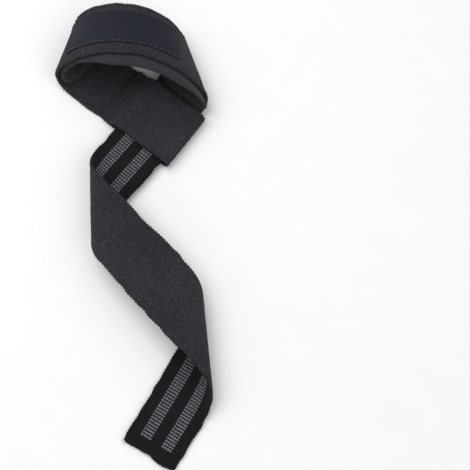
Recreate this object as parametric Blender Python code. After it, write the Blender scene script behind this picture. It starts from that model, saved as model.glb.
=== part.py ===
# Weightlifting strap lying on a table: one strip of webbing that is sewn into an end loop, makes the
# padded wrist loop, passes through the end loop and leaves as a free tail with one flattened curl.
# Units are metres, Z is up, and the table is the plane Z = 0. X runs along the wrist loop's width, and
# the wrist loop's axis runs along Y.
#
# Cloth bends but doesn't stretch. So each curl is a cone with a rounded section, and the strip is wrapped
# round it as a straight flat band: "along" is the distance along the strip, "across" the distance to the
# left of its middle line, and "out" the distance from the strip's mid surface towards its outer face.
# The middle of the place where the tail crosses the end loop is along = 0. The strip bends about the
# cone's rulings, which cross it at a slant, so its stations follow them: "slant" is how far a ruling moves
# along the strip for each length across it.

import math

import bpy
import numpy as np

MM = 0.001

# Webbing
WEBBING_WIDTH = 38.0 * MM
WEBBING_THICKNESS = 2.2 * MM
WEBBING_EDGE_ROUND = 0.6 * MM
LAYER_GAP = 0.5 * MM            # between two layers that lie on each other
GRIP_LAYER_GAP = 1.4 * MM       # and where the grips lie between them

# Wrist loop, measured at the middle of its depth
WRIST_WIDTH = 82.0 * MM
WRIST_HEIGHT = 37.0 * MM
WRIST_LEFT_TURN = 9.8 * MM
WRIST_RIGHT_TURN = 7.0 * MM       # tighter, where it comes out of the end loop
WRIST_TAPER_LENGTH = 121.5 * MM  # from there to the point where its rulings meet

# Where the tail crosses the end loop, seen from the wrist loop's middle
CROSSING_RIGHT = 12.0 * MM
CROSSING_FRONT = 39.9 * MM
CROSSING_HEADING = math.radians(231.8)
TAIL_HEADING = math.radians(229.9)  # it sways a little inside the end loop
SWAY_LENGTH = 12.0 * MM

# Curl of the tail, measured at its middle
CURL_WIDTH = 62.0 * MM
CURL_HEIGHT = 20.0 * MM
CURL_TURN = 9.4 * MM
CURL_TAPER_LENGTH = 1055.0 * MM
CURL_LEAN = 56.5 * MM            # how far left of its middle its rulings meet
CURL_RIGHT = 11.6 * MM           # from the wrist loop's middle
CURL_FRONT = 142.0 * MM

TAIL_LENGTH = 246.0 * MM
END_LOOP_CLEARANCE = 0.6 * MM    # from the end loop's fold to the tail's edge
END_LOOP_OPEN = 1.5              # how much more than the tail its top layer rises at the right turn
HEM_DROP = 6.0 * MM              # the top layer comes down to the bottom one over this length
HEM_SEWN = 4.5 * MM              # and is sewn down along this

# Pad, patch and grips
PIECE_GAP = 0.3 * MM
PAD_THICKNESS = 3.6 * MM
PAD_PINCHED = 1.7 * MM           # its thickness in the right turn
PAD_FRONT_OVERHANG = 6.0 * MM
PAD_BACK_OVERHANG = 1.5 * MM
PAD_LENGTH = 141.0 * MM
PAD_TO_END_LOOP = 3.0 * MM
PAD_CORNER = 11.0 * MM
PATCH_LENGTH = 74.0 * MM
PATCH_WIDTH = 24.0 * MM
PATCH_THICKNESS = 0.8 * MM
PATCH_MIDDLE_TO_CROSSING = 109.0 * MM
GRIP_WIDTH = 7.6 * MM
GRIP_THICKNESS = 0.5 * MM
GRIP_SPACING = 15.2 * MM         # middle to middle
GRIP_START = -9.0 * MM
GRIP_TO_TAIL_END = 6.0 * MM

# How far the strip is drawn in where it is pulled through the end loop, and at its free end
DRAWN_IN = (
    # (place as a share of the tail's length, width as a share of the webbing's)
    (-0.24, 1.00),
    (-0.12, 0.91),
    (0.18, 0.90),
    (0.36, 0.92),
    (0.48, 0.98),
    (0.62, 0.98),
    (0.80, 0.92),
    (1.00, 0.90),
)

# How much of its front overhang the pad has. Round the left turn it is set back behind the webbing's edge
PAD_SHOWN = (
    # (place as a share of the pad's length, share of the overhang)
    (0.00, -0.30),
    (0.24, -0.15),
    (0.42, 1.00),
    (0.80, 1.00),
    (1.00, 0.60),
)

ARC_STEPS = 11                   # stations on each arc of a curl's section
RUN_STEPS = 60                   # points on each straight run of a section, whose angles they measure
RUN_REACH = 4.0                  # straight runs of a section, in widths of the curl
FOLD_STEPS = 8                   # stations round the end loop's fold
PIECE_STEP = 2.3 * MM            # between the stations of the pad and the patch
WEBBING_SPANS = 4                # faces across each piece
PAD_SPANS = 8
PATCH_SPANS = 5
GRIP_SPANS = 1
PAD_EDGE_SHARE = 0.5             # edge that each piece's rim takes, as a share of its thickness
PATCH_EDGE_SHARE = 1 / 3
GRIP_EDGE_SHARE = 1 / 3
CORNER_LIMIT = 0.98              # keeps a rounded corner's last station from closing up
TURN_LIMIT = 0.9                 # how far up the right turn's side the end loop may follow it
NORMAL_STEP = 0.05 * MM
SHARP_ANGLE = math.radians(40)


def arc_points(centre_x, centre_z, radius, start, end):
    """Points of an arc, by the angle that the strip has turned through, without the last one."""
    turned = np.linspace(start, end, ARC_STEPS, endpoint=False)
    return np.stack([centre_x - radius * np.sin(turned), centre_z - radius * np.cos(turned)], axis=1)


def half_section(half_width, height, turn):
    """Crown radius and angle at which a turn of this radius runs into the crown's arc."""
    reach, rise = half_width - turn, height - turn
    crown = (reach**2 + rise**2 - turn**2) / (2 * (rise - turn))
    return crown, math.pi - math.atan2(reach, crown - rise)


class Curl:
    """A cone with a rounded section. The strip comes in along the bottom, heading left, turns up and over,
    and goes out along the bottom, heading left again, at another height."""

    def __init__(self, middle, taper, lean, width, height, left_turn, right_turn, height_in, height_out):
        self.apex = np.array([middle[0] - lean, middle[1] + taper])
        self.taper, self.lean, self.height = taper, lean, height
        left_reach, right_reach = width / 2 - left_turn, width / 2 - right_turn
        left_crown, left_angle = half_section(width / 2, height, left_turn)
        right_crown, right_angle = half_section(width / 2, height, right_turn)
        full = 2 * math.pi
        run_in = np.linspace(RUN_REACH * width, -left_reach, RUN_STEPS, endpoint=False)
        run_out = np.linspace(right_reach, -RUN_REACH * width, RUN_STEPS)
        first = [
            np.stack([run_in, 0 * run_in], axis=1),
            arc_points(-left_reach, left_turn, left_turn, 0, left_angle),
            arc_points(0, height - left_crown, left_crown, left_angle, math.pi),
        ]
        second = [
            arc_points(0, height - right_crown, right_crown, math.pi, full - right_angle),
            arc_points(right_reach, right_turn, right_turn, full - right_angle, full),
            np.stack([run_out, 0 * run_out], axis=1),
        ]
        self.section = np.concatenate(first + second) + (lean, 0)
        count_first = sum(len(points) for points in first)
        self.lift = np.where(np.arange(len(self.section)) < count_first, height_in, height_out)
        rays = np.stack([self.section[:, 0], 0 * self.lift - taper, self.section[:, 1]], axis=1)
        unit = rays / np.linalg.norm(rays, axis=1)[:, None]
        self.angle = np.append(0, np.cumsum(np.linalg.norm(np.diff(unit, axis=0), axis=1)))
        self.right_reach, self.right_turn = right_reach, right_turn
        self.run_in, self.run_out = slice(0, RUN_STEPS), slice(-RUN_STEPS, None)
        self.bent = self.angle[RUN_STEPS:1 - RUN_STEPS]

    def angle_on_run(self, point, run):
        """Unrolled angle of a plan point that lies on one of the two straight runs."""
        x, y = point - self.apex
        return np.interp(self.taper * x / y, -self.section[run, 0], self.angle[run])

    def surface(self, angle, distance):
        x = np.interp(angle, self.angle, self.section[:, 0])
        z = np.interp(angle, self.angle, self.section[:, 1])
        lift = np.interp(angle, self.angle, self.lift)
        scale = distance / np.sqrt(x**2 + self.taper**2 + z**2)
        height = WEBBING_THICKNESS / 2 + scale * z + lift * (1 - z / self.height)
        return np.stack([self.apex[0] + scale * x, self.apex[1] - scale * self.taper, height], axis=-1)

    def lay(self, start, heading, run):
        """Lays the strip straight through a plan point on one of the runs."""
        self.ahead = np.array([math.cos(heading), math.sin(heading)])
        self.left = np.array([-self.ahead[1], self.ahead[0]])
        self.start = start - self.apex
        self.start_angle = self.angle_on_run(start, run)

    def wrap(self, along, across):
        """The strip's mid surface."""
        flat = self.start + np.multiply.outer(along, self.ahead) + np.multiply.outer(across, self.left)
        from_start = np.arctan2(flat[..., 1], flat[..., 0]) - math.atan2(self.start[1], self.start[0])
        turned = (from_start + math.pi) % (2 * math.pi) - math.pi
        return self.surface(self.start_angle - turned, np.hypot(flat[..., 0], flat[..., 1]))

    def bends(self):
        """Where the rulings of the section's arcs cross the strip's middle line."""
        flat = math.atan2(self.start[1], self.start[0]) + self.start_angle - self.bent
        x, y = np.cos(flat), np.sin(flat)
        return -(self.start[0] * y - self.start[1] * x) / (self.ahead[0] * y - self.ahead[1] * x)

    def slant(self, along):
        return (self.start @ self.ahead + along) / (self.start @ self.left)

    def rise_at_right(self, plan):
        """How far the run out has risen into the right turn, over a plan point."""
        scale = (self.apex[1] - plan[..., 1]) / self.taper
        past = np.maximum(plan[..., 0] - self.apex[0] - scale * (self.lean + self.right_reach), 0)
        turn = scale * self.right_turn
        return turn - np.sqrt(turn**2 - np.minimum(past, TURN_LIMIT * turn)**2)


def smooth(value):
    value = np.clip(value, 0, 1)
    return value * value * (3 - 2 * value)


class Strip:
    """The whole strip: end loop, wrist loop and tail."""

    def __init__(self):
        layer = WEBBING_THICKNESS + LAYER_GAP
        self.crossing = np.array([CROSSING_RIGHT, -CROSSING_FRONT])
        self.wrist = Curl((0, 0), WRIST_TAPER_LENGTH, 0, WRIST_WIDTH, WRIST_HEIGHT,
                          WRIST_LEFT_TURN, WRIST_RIGHT_TURN, 0, layer)
        self.curl = Curl((CURL_RIGHT, -CURL_FRONT), CURL_TAPER_LENGTH, CURL_LEAN, CURL_WIDTH, CURL_HEIGHT,
                         CURL_TURN, CURL_TURN, layer, 0)
        self.wrist.lay(self.crossing, CROSSING_HEADING, self.wrist.run_out)
        self.curl.lay(self.crossing, TAIL_HEADING, self.curl.run_in)
        self.set_end_loop()

    def set_end_loop(self):
        """The end loop's places: the tail crosses the bottom band and has just room between fold and hem."""
        band_start = self.wrist.bends().min()
        places = band_start - np.array([1, 2]) * WEBBING_WIDTH
        near, far = self.wrist.wrap(places, np.zeros(2))[:, :2]
        band = (near - far) / np.linalg.norm(near - far)
        tail = self.wrist.ahead
        band_left = np.array([-band[1], band[0]])
        aside = (near - self.crossing) @ band_left / (tail @ band_left)
        crossing_along = places[0] + (self.crossing + aside * tail - near) @ band
        half_tail = self.width_share(0) * WEBBING_WIDTH / 2 / abs(tail @ band_left)
        skew = abs(tail @ band) / abs(tail @ band_left) * WEBBING_WIDTH / 2
        self.mouth = -abs(aside) - WEBBING_WIDTH / 2 / abs(tail @ band_left)
        self.layer = WEBBING_THICKNESS + LAYER_GAP
        self.fold = crossing_along - half_tail - skew - END_LOOP_CLEARANCE
        self.drop_start = crossing_along + half_tail + skew + LAYER_GAP
        self.hem_end = self.drop_start + HEM_DROP + HEM_SEWN
        self.folded = self.fold - math.pi * self.layer
        self.start = self.folded - (self.hem_end - self.fold)

    def width_share(self, along):
        places, shares = zip(*DRAWN_IN)
        return np.interp(along, np.array(places) * TAIL_LENGTH, shares)

    def end_part(self, along, across):
        """Round the fold and back over the tail, then down to the bottom band."""
        turned = np.clip((self.fold - along) / self.layer, 0, math.pi)
        back = np.maximum(self.folded - along, 0)
        place = self.fold - self.layer * np.sin(turned) + back
        flat = self.wrist.wrap(place, across)
        over = self.layer + WEBBING_THICKNESS + GRIP_LAYER_GAP
        over = over + END_LOOP_OPEN * self.wrist.rise_at_right(flat)
        down = smooth((place - self.drop_start) / HEM_DROP)
        rise = np.where(back > 0, over + (self.layer - over) * down, over * (1 - np.cos(turned)) / 2)
        flat[..., 2] += rise
        return flat

    def mid(self, along, across):
        parts = np.where((along < self.fold)[..., None], self.end_part(along, across),
                         self.wrist.wrap(along, across))
        share = smooth(along / SWAY_LENGTH + 0.5)[..., None]
        return (1 - share) * parts + share * self.curl.wrap(along, across)

    def outward(self, along, across):
        ahead = self.mid(along + NORMAL_STEP, across) - self.mid(along - NORMAL_STEP, across)
        left = self.mid(along, across + NORMAL_STEP) - self.mid(along, across - NORMAL_STEP)
        normal = np.cross(left, ahead)
        return normal / np.linalg.norm(normal, axis=-1)[..., None]

    def ring(self, place, profile, slanted=True):
        """The points of a section's outline, given as (across, out), at one station of the strip."""
        across = profile[:, 0] * self.width_share(place)
        along = place + across * (self.slant(place) if slanted else 0)
        return self.mid(along, across) + profile[:, 1:] * self.outward(along, across)

    def slant(self, place):
        """The cones' own slant where the strip bends, and straight across at the hem, the fold and the end."""
        wrist, curl = self.wrist.bends(), self.curl.bends()
        places = [self.hem_end, *wrist, *curl, TAIL_LENGTH]
        slants = [0, *self.wrist.slant(wrist), *self.curl.slant(curl), 0]
        return np.interp(place, places, slants)

    def stations(self):
        """Places along the middle line: every ruling where it bends, few where it lies flat."""
        drop = self.folded - (self.drop_start - self.fold)
        hem = drop - HEM_DROP
        wrist, curl = self.wrist.bends(), self.curl.bends()
        return np.concatenate([
            [self.start],
            np.linspace(hem, drop, FOLD_STEPS // 2),
            np.linspace(drop, self.folded, FOLD_STEPS)[1:],
            np.linspace(self.folded, self.fold, FOLD_STEPS)[1:],
            np.linspace(self.fold, wrist[0], FOLD_STEPS)[1:-1],
            wrist,
            np.linspace(wrist[-1], curl[0], FOLD_STEPS)[1:-1],
            curl,
            np.linspace(curl[-1], TAIL_LENGTH, FOLD_STEPS)[1:],
        ])


def material(name, colour, roughness):
    made = bpy.data.materials.new(name)
    made.use_nodes = True
    shader = made.node_tree.nodes["Principled BSDF"]
    shader.inputs["Base Color"].default_value = (*colour, 1)
    shader.inputs["Roughness"].default_value = roughness
    shader.inputs["Metallic"].default_value = 0
    return made


def swept(name, rings, finish):
    """One closed body from rings of points, each ring as long as the next, with both ends capped."""
    rings = np.array(rings)
    count, around = rings.shape[:2]
    faces = [list(range(around)), [(count - 1) * around + i for i in range(around)][::-1]]
    for ring in range(count - 1):
        for i in range(around):
            after = (i + 1) % around
            faces.append([ring * around + i, (ring + 1) * around + i,
                          (ring + 1) * around + after, ring * around + after])
    mesh = bpy.data.meshes.new(name)
    mesh.from_pydata(rings.reshape(-1, 3).tolist(), [], faces)
    mesh.validate()
    mesh.shade_smooth()
    mesh.set_sharp_from_angle(angle=SHARP_ANGLE)
    mesh.materials.append(finish)
    piece = bpy.data.objects.new(name, mesh)
    bpy.context.scene.collection.objects.link(piece)
    return piece


def slab_profile(back, front, low, high, edge, spans):
    """Outline of a flat strip's section, as (across, out), with bevelled corners."""
    inner = np.linspace(back + edge, front - edge, spans + 1)
    bevel = min(edge, (high - low) / 3)
    lower = [(across, low) for across in inner]
    upper = [(across, high) for across in inner[::-1]]
    return np.array(lower + [(front, low + bevel), (front, high - bevel)]
                    + upper + [(back, high - bevel), (back, low + bevel)])


def steps(start, end):
    return np.linspace(start, end, math.ceil((end - start) / PIECE_STEP) + 1)


def make_webbing(strip):
    finish = material("woven cotton webbing", (0.035, 0.035, 0.042), 0.95)
    half, thick = WEBBING_WIDTH / 2, WEBBING_THICKNESS / 2
    profile = slab_profile(-half, half, -thick, thick, WEBBING_EDGE_ROUND, WEBBING_SPANS)
    return swept("webbing_strap", [strip.ring(place, profile) for place in strip.stations()], finish)


def corner_inset(place, start, end, corner):
    """How far a rounded corner holds an edge in, at a place between two ends."""
    to_end = np.minimum(place - start, end - place)
    inside = np.clip(corner - to_end, 0, corner)
    return corner - math.sqrt(corner**2 - inside**2)


def make_pad(strip):
    finish = material("neoprene", (0.045, 0.052, 0.062), 0.8)
    end = strip.mouth - PAD_TO_END_LOOP
    start = end - PAD_LENGTH
    pinch = strip.wrist.bends()[-ARC_STEPS]
    back = -WEBBING_WIDTH / 2 - PAD_BACK_OVERHANG
    high = -WEBBING_THICKNESS / 2 - PIECE_GAP
    shown_places, shown = zip(*PAD_SHOWN)
    rings = []
    for place in steps(start, end):
        overhang = PAD_FRONT_OVERHANG * np.interp((place - start) / PAD_LENGTH, shown_places, shown)
        front = WEBBING_WIDTH / 2 + overhang
        inset = CORNER_LIMIT * corner_inset(place, start, end, PAD_CORNER)
        thickness = np.interp(place, [pinch - PAD_CORNER, pinch], [PAD_THICKNESS, PAD_PINCHED])
        profile = slab_profile(back + inset, front - inset, high - thickness, high,
                               PAD_EDGE_SHARE * thickness, PAD_SPANS)
        rings.append(strip.ring(place, profile, slanted=False))
    return swept("wrist_pad", rings, finish)


def make_patch(strip):
    finish = material("woven label", (0.021, 0.024, 0.038), 0.7)
    middle = -PATCH_MIDDLE_TO_CROSSING
    low = WEBBING_THICKNESS / 2 + PIECE_GAP
    half = PATCH_WIDTH / 2
    profile = slab_profile(-half, half, low, low + PATCH_THICKNESS,
                           PATCH_EDGE_SHARE * PATCH_THICKNESS, PATCH_SPANS)
    places = steps(middle - PATCH_LENGTH / 2, middle + PATCH_LENGTH / 2)
    return swept("label_patch", [strip.ring(place, profile, slanted=False) for place in places], finish)


def make_grip(strip, name, middle):
    finish = bpy.data.materials.get("grip rubber") or material("grip rubber", (0.22, 0.22, 0.28), 0.6)
    high = -WEBBING_THICKNESS / 2 - PIECE_GAP
    half = GRIP_WIDTH / 2
    profile = slab_profile(middle - half, middle + half, high - GRIP_THICKNESS, high,
                           GRIP_EDGE_SHARE * GRIP_THICKNESS, GRIP_SPANS)
    end = TAIL_LENGTH - GRIP_TO_TAIL_END
    between = [place for place in strip.stations() if GRIP_START < place < end]
    places = [GRIP_START, *between, end]
    return swept(name, [strip.ring(place, profile) for place in places], finish)


def centre_on_origin(pieces):
    """Moves all pieces together, so that the middle of their footprint is the origin."""
    corners = np.array([vertex.co for piece in pieces for vertex in piece.data.vertices])
    middle = (corners.min(axis=0) + corners.max(axis=0)) / 2
    for piece in pieces:
        for vertex in piece.data.vertices:
            vertex.co.x -= middle[0]
            vertex.co.y -= middle[1]


def main():
    for old in list(bpy.data.objects):
        bpy.data.objects.remove(old)
    strip = Strip()
    pieces = [
        make_webbing(strip),
        make_pad(strip),
        make_patch(strip),
        make_grip(strip, "grip_strip_left", -GRIP_SPACING / 2),
        make_grip(strip, "grip_strip_right", GRIP_SPACING / 2),
    ]
    centre_on_origin(pieces)


main()
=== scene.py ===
import math

import bpy
import numpy as np
from mathutils import Euler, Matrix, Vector


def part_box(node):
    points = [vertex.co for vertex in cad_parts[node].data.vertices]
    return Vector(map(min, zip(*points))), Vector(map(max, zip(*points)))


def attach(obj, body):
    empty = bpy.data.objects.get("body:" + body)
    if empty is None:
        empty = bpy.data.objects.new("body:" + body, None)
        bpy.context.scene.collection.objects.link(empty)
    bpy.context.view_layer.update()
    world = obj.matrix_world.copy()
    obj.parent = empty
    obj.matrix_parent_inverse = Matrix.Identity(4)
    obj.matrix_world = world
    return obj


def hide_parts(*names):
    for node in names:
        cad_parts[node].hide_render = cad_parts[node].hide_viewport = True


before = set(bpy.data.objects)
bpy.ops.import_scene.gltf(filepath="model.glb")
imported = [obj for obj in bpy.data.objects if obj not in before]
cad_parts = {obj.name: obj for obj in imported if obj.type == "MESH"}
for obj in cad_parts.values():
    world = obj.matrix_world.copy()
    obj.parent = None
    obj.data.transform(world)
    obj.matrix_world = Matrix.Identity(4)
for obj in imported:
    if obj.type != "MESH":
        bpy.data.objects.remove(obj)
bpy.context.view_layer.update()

mm = 0.001

# The strip as it lies on the table, in millimetres. "along" runs along the strip from the place where the
# tail crosses the end loop, "across" to the left of its middle line, "out" towards its outer face.
strap = {
    "width": 38.0, "thick": 2.2, "layerGap": 0.5, "gripLayerGap": 1.4, "tail": 246.0,
    "crossing": (12.0, -39.9), "crossingHeading": 231.8, "tailHeading": 229.9, "sway": 12.0,
    "loopClearance": 0.6, "loopOpen": 1.5, "hemDrop": 6.0, "hemSewn": 4.5,
    "drawnIn": [(-0.24, 1.0), (-0.12, 0.91), (0.18, 0.9), (0.36, 0.92), (0.48, 0.98), (0.62, 0.98),
                (0.8, 0.92), (1.0, 0.9)],
}
wristForm = {"middle": (0, 0), "taper": 121.5, "lean": 0.0, "width": 82.0, "height": 37.0,
             "leftTurn": 9.8, "rightTurn": 7.0}
curlForm = {"middle": (11.6, -142.0), "taper": 1055.0, "lean": 56.5, "width": 62.0, "height": 20.0,
            "leftTurn": 9.4, "rightTurn": 9.4}
arcSteps, runSteps, runReach = 40, 60, 4.0  # of a curl's section; the reach is a share of its width
riseLimit = 0.9  # of a turn's radius, where a layer that lies on the turn stops climbing
centringSteps = 1200
floorGap = 0.03  # between the floor and the lowest threads


def arcPoints(centreX, centreZ, radius, start, end):
    turned = np.linspace(start, end, arcSteps, endpoint=False)
    return np.stack([centreX - radius * np.sin(turned), centreZ - radius * np.cos(turned)], axis=1)


def halfSection(halfWidth, height, turn):  # crown radius, and where the turn runs into it
    reach, rise = halfWidth - turn, height - turn
    crown = (reach**2 + rise**2 - turn**2) / (2 * (rise - turn))
    return crown, math.pi - math.atan2(reach, crown - rise)


class Curl:  # a cone with a rounded section, which the flat strip is wrapped round
    def __init__(self, form, heightIn, heightOut):
        self.taper, self.lean, self.height = form["taper"], form["lean"], form["height"]
        self.apex = np.array([form["middle"][0] - self.lean, form["middle"][1] + self.taper])
        half = form["width"] / 2
        leftReach, rightReach = half - form["leftTurn"], half - form["rightTurn"]
        leftCrown, leftAngle = halfSection(half, self.height, form["leftTurn"])
        rightCrown, rightAngle = halfSection(half, self.height, form["rightTurn"])
        full = 2 * math.pi
        runIn = np.linspace(runReach * form["width"], -leftReach, runSteps, endpoint=False)
        runOut = np.linspace(rightReach, -runReach * form["width"], runSteps)
        first = [
            np.stack([runIn, 0 * runIn], axis=1),
            arcPoints(-leftReach, form["leftTurn"], form["leftTurn"], 0, leftAngle),
            arcPoints(0, self.height - leftCrown, leftCrown, leftAngle, math.pi),
        ]
        second = [
            arcPoints(0, self.height - rightCrown, rightCrown, math.pi, full - rightAngle),
            arcPoints(rightReach, form["rightTurn"], form["rightTurn"], full - rightAngle, full),
            np.stack([runOut, 0 * runOut], axis=1),
        ]
        self.section = np.concatenate(first + second) + (self.lean, 0)
        inFirst = np.arange(len(self.section)) < sum(len(points) for points in first)
        self.lift = np.where(inFirst, heightIn, heightOut)
        rays = np.stack([self.section[:, 0], 0 * self.lift - self.taper, self.section[:, 1]], axis=1)
        unit = rays / np.linalg.norm(rays, axis=1)[:, None]
        self.angle = np.append(0, np.cumsum(np.linalg.norm(np.diff(unit, axis=0), axis=1)))
        self.rightReach, self.rightTurn = rightReach, form["rightTurn"]
        self.runIn, self.runOut = slice(0, runSteps), slice(-runSteps, None)
        self.bent = self.angle[runSteps:1 - runSteps]

    def surface(self, angle, distance):
        x = np.interp(angle, self.angle, self.section[:, 0])
        z = np.interp(angle, self.angle, self.section[:, 1])
        lift = np.interp(angle, self.angle, self.lift)
        scale = distance / np.sqrt(x**2 + self.taper**2 + z**2)
        height = strap["thick"] / 2 + scale * z + lift * (1 - z / self.height)
        return np.stack([self.apex[0] + scale * x, self.apex[1] - scale * self.taper, height], axis=-1)

    def layStraight(self, start, heading, run):
        self.ahead = np.array([math.cos(heading), math.sin(heading)])
        self.left = np.array([-self.ahead[1], self.ahead[0]])
        self.start = start - self.apex
        x, y = self.start
        self.startAngle = np.interp(self.taper * x / y, -self.section[run, 0], self.angle[run])

    def wrap(self, along, across):
        flat = self.start + np.multiply.outer(along, self.ahead) + np.multiply.outer(across, self.left)
        fromStart = np.arctan2(flat[..., 1], flat[..., 0]) - math.atan2(self.start[1], self.start[0])
        turned = (fromStart + math.pi) % (2 * math.pi) - math.pi
        return self.surface(self.startAngle - turned, np.hypot(flat[..., 0], flat[..., 1]))

    def bends(self):  # places along the middle line where the strip is bent
        flat = math.atan2(self.start[1], self.start[0]) + self.startAngle - self.bent
        x, y = np.cos(flat), np.sin(flat)
        return -(self.start[0] * y - self.start[1] * x) / (self.ahead[0] * y - self.ahead[1] * x)

    def riseAtRight(self, plan):
        scale = (self.apex[1] - plan[..., 1]) / self.taper
        past = np.maximum(plan[..., 0] - self.apex[0] - scale * (self.lean + self.rightReach), 0)
        turn = scale * self.rightTurn
        return turn - np.sqrt(turn**2 - np.minimum(past, riseLimit * turn)**2)


def smooth(value):
    value = np.clip(value, 0, 1)
    return value * value * (3 - 2 * value)


def widthShare(along):
    places, shares = zip(*strap["drawnIn"])
    return np.interp(along, np.array(places) * strap["tail"], shares)


layer = strap["thick"] + strap["layerGap"]
crossing = np.array(strap["crossing"])
wrist, curl = Curl(wristForm, 0, layer), Curl(curlForm, layer, 0)
wrist.layStraight(crossing, math.radians(strap["crossingHeading"]), wrist.runOut)
curl.layStraight(crossing, math.radians(strap["tailHeading"]), curl.runIn)


def endLoopPlaces():  # the end loop has just room for the tail between its fold and its hem
    width = strap["width"]
    places = wrist.bends().min() - np.array([1, 2]) * width
    near, far = wrist.wrap(places, np.zeros(2))[:, :2]
    band = (near - far) / np.linalg.norm(near - far)
    bandLeft, tail = np.array([-band[1], band[0]]), wrist.ahead
    aside = (near - crossing) @ bandLeft / (tail @ bandLeft)
    crossingAlong = places[0] + (crossing + aside * tail - near) @ band
    slope = abs(tail @ bandLeft)
    halfTail = widthShare(0) * width / 2 / slope
    skew = abs(tail @ band) / slope * width / 2
    mouth = -abs(aside) - width / 2 / slope
    fold = crossingAlong - halfTail - skew - strap["loopClearance"]
    dropStart = crossingAlong + halfTail + skew + strap["layerGap"]
    folded = fold - math.pi * layer
    start = folded - (dropStart + strap["hemDrop"] + strap["hemSewn"] - fold)
    return mouth, fold, folded, dropStart, start


mouth, fold, folded, dropStart, stripStart = endLoopPlaces()
stripEnd = strap["tail"]


def endPart(along, across):  # round the fold, back over the tail and down to the hem
    turned = np.clip((fold - along) / layer, 0, math.pi)
    back = np.maximum(folded - along, 0)
    place = fold - layer * np.sin(turned) + back
    flat = wrist.wrap(place, across)
    over = layer + strap["thick"] + strap["gripLayerGap"] + strap["loopOpen"] * wrist.riseAtRight(flat)
    down = smooth((place - dropStart) / strap["hemDrop"])
    flat[..., 2] += np.where(back > 0, over + (layer - over) * down, over * (1 - np.cos(turned)) / 2)
    return flat


def midSurface(along, across):
    parts = np.where((along < fold)[..., None], endPart(along, across), wrist.wrap(along, across))
    share = smooth(along / strap["sway"] + 0.5)[..., None]
    return (1 - share) * parts + share * curl.wrap(along, across)


def outward(along, across, step=0.05):
    ahead = midSurface(along + step, across) - midSurface(along - step, across)
    left = midSurface(along, across + step) - midSurface(along, across - step)
    normal = np.cross(left, ahead)
    return normal / np.linalg.norm(normal, axis=-1)[..., None]


def lay(along, across, out, shift=None):
    along, across, out = np.broadcast_arrays(*[np.asarray(v, dtype=float) for v in (along, across, out)])
    across = across * widthShare(along)
    place = midSurface(along, across) + out[..., None] * outward(along, across)
    return place + (centring if shift is None else shift)


def findCentring():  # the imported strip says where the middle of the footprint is
    along = np.linspace(stripStart, stripEnd, centringSteps)[:, None]
    across = np.array([-0.5, 0.5]) * strap["width"]
    plain = lay(along, across, 0.0, shift=np.zeros(3)).reshape(-1, 3)
    low, high = [np.array(corner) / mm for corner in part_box("webbing_strap")]
    shift = (low + high) / 2 - (plain.min(axis=0) + plain.max(axis=0)) / 2
    return np.array([shift[0], shift[1], 0.0])


centring = findCentring()
print("strip laid, flat length", round(stripEnd - stripStart, 1), "mm, centring", centring.round(2))


# Materials
def linear(code):
    channels = [int(code[i:i + 2], 16) / 255 for i in (1, 3, 5)]
    return [c / 12.92 if c <= 0.04045 else ((c + 0.055) / 1.055)**2.4 for c in channels]


def colour(code):
    return (*linear(code), 1.0)


def addNode(tree, kind, inputs=None, **settings):
    made = tree.nodes.new(kind)
    for key, value in settings.items():
        setattr(made, key, value)
    for socket, value in (inputs or {}).items():
        if isinstance(value, bpy.types.NodeSocket):
            tree.links.new(value, made.inputs[socket])
        else:
            made.inputs[socket].default_value = value
    return made


def newMaterial(name, roughness, ior=1.5, sheen=0.0, gloss=0.5):
    made = bpy.data.materials.new(name)
    made.use_nodes = True
    shader = made.node_tree.nodes["Principled BSDF"]
    shader.inputs["Metallic"].default_value = 0.0
    shader.inputs["Roughness"].default_value = roughness
    shader.inputs["IOR"].default_value = ior
    shader.inputs["Specular IOR Level"].default_value = gloss  # less in cloth, whose yarns shade each other
    shader.inputs["Sheen Weight"].default_value = sheen
    shader.inputs["Sheen Roughness"].default_value = 0.5
    return made, made.node_tree, shader


# Woven cotton webbing, piece-dyed charcoal on a shuttle loom: matt and soft, its yarns uneven and brushed
# by use, so that the weave shows as a fine broken speckle under a heather of paler fibres. The shade in the
# hollows between the yarns is painted into the colour, lifted at random in places. The real yarns are about
# 0.8 mm apart; here they are drawn a little coarser. Drift and jitter push them about, in mm.
weave = {
    "warpPitch": 1.25, "weftPitch": 1.5, "drift": 1.1, "jitter": 0.5, "bump": 0.3, "crest": 0.45,
    "driftScale": 0.12, "jitterScale": 0.9, "dyeScale": 0.55, "brushScale": 0.22, "brush": 0.3,
    "hairTurn": 0.6, "hairScale": (2.2, 0.9, 1), "heather": 0.7, "wearScale": 0.035, "wear": 0.14,
    # gap and gapInner are painted shade, the colour put into the hollows between the yarns
    "gap": "#151519", "yarn": "#222227", "pale": "#3B3B41", "fibre": "#606068",
    # the inner-face set: the same colours, drawn darker
    "gapInner": "#09090B", "yarnInner": "#121214", "paleInner": "#1F1F22", "fibreInner": "#35353B",
}


def noiseShift(tree, place, scale, amount):  # the place, pushed about by a soft noise
    noise = addNode(tree, "ShaderNodeTexNoise", {"Vector": place, "Scale": scale, "Detail": 2.0})
    centred = addNode(tree, "ShaderNodeVectorMath", {0: noise.outputs["Color"], 1: (0.5, 0.5, 0.5)},
                      operation="SUBTRACT")
    return addNode(tree, "ShaderNodeVectorMath", {0: centred.outputs[0], 1: (2 * amount,) * 3, 2: place},
                   operation="MULTIPLY_ADD").outputs[0]


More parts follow.
